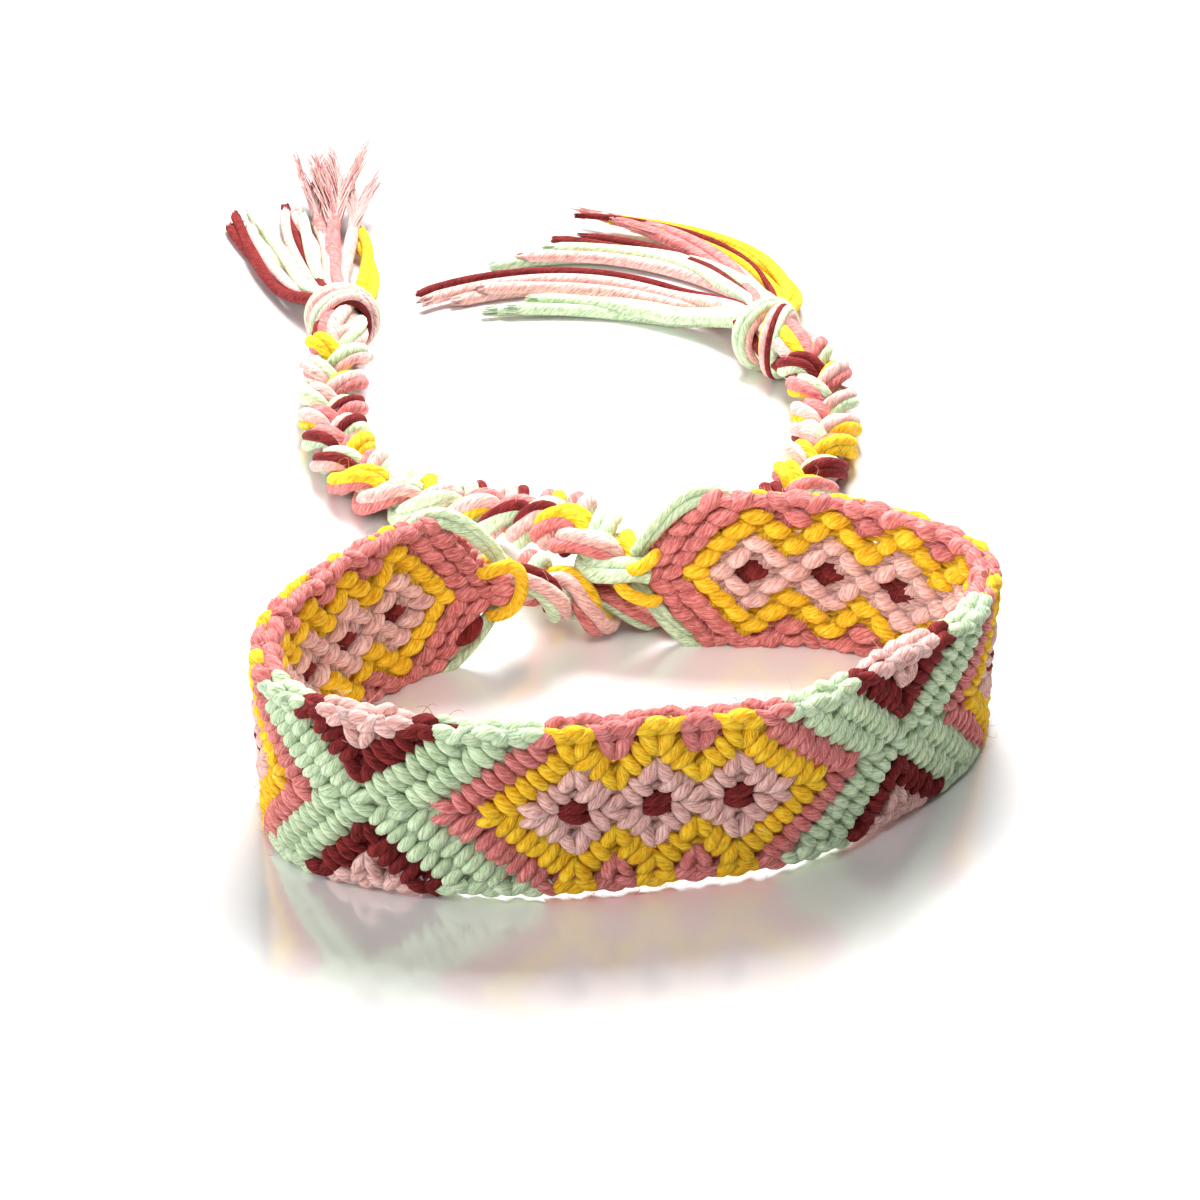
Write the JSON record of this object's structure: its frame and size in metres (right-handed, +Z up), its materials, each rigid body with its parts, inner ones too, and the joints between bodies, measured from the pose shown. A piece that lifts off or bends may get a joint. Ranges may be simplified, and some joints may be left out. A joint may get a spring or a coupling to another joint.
{
  "type": "friendship bracelet",
  "caption": "Knotted friendship bracelet with a diamond and flower pattern, standing on its edge as an open ring, with a braided tie, knot and tassel at each end.",
  "frame": {"origin": "on the surface the bracelet stands on, in the middle of the wrist opening", "axes": "+Z up, along the wrist; +X to the right and +Y to the back, where the two ties leave the band"},
  "size_m": [0.0776, 0.1541, 0.0154],
  "materials": {
    "rose_yarn": "matte cotton yarn",
    "mint_yarn": "matte cotton yarn",
    "yellow_yarn": "matte cotton yarn",
    "pale_pink_yarn": "matte cotton yarn",
    "dark_red_yarn": "matte cotton yarn"
  },
  "bodies": {
    "root": {"knotted_band": "rose_yarn", "left_tie_strand_1": "mint_yarn", "left_tie_strand_2": "yellow_yarn", "left_tie_strand_3": "pale_pink_yarn", "left_tie_knot": "mint_yarn", "left_tie_tassel": "dark_red_yarn", "right_tie_strand_1": "mint_yarn", "right_tie_strand_2": "yellow_yarn", "right_tie_strand_3": "pale_pink_yarn", "right_tie_knot": "pale_pink_yarn", "right_tie_tassel": "pale_pink_yarn"}
  },
  "joints": []
}
